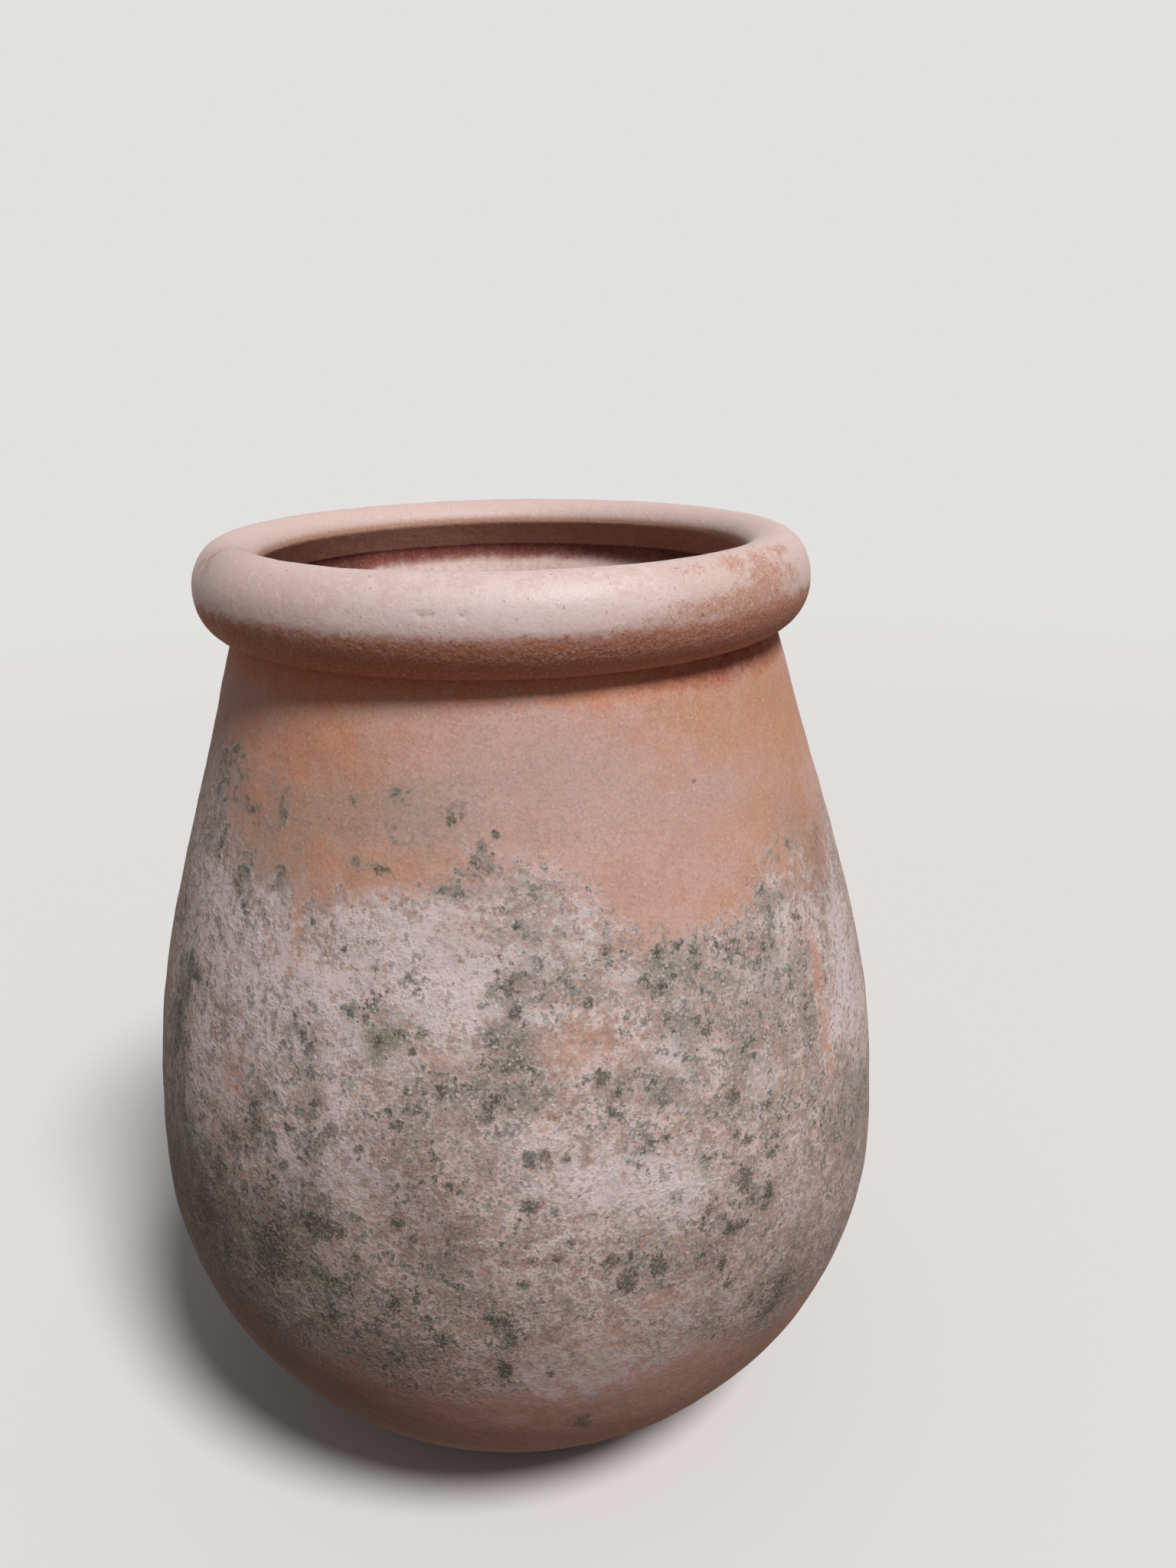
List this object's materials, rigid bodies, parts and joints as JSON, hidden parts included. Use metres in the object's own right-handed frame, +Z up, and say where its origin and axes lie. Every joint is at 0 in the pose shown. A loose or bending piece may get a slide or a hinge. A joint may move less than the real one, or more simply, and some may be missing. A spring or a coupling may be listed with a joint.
{
  "type": "olive jar",
  "caption": "Wide-bellied clay olive jar with a rolled rim, a sloping neck, an open mouth and a small flat foot.",
  "frame": {"origin": "middle of the flat foot, on the ground", "axes": "+Z up along the jar's axis, out of the mouth; -Y is the side that faces the camera in the picture"},
  "size_m": [0.383, 0.3828, 0.475],
  "materials": {
    "fired_clay": "matt unglazed low-fired clay, weathered, with pale salt bloom and dark green spots of moss and lichen"
  },
  "bodies": {
    "root": {"base_disc": "fired_clay", "lower_wall": "fired_clay", "belly_wall": "fired_clay", "shoulder_wall": "fired_clay", "neck_collar": "fired_clay", "rim_roll": "fired_clay"}
  },
  "joints": []
}
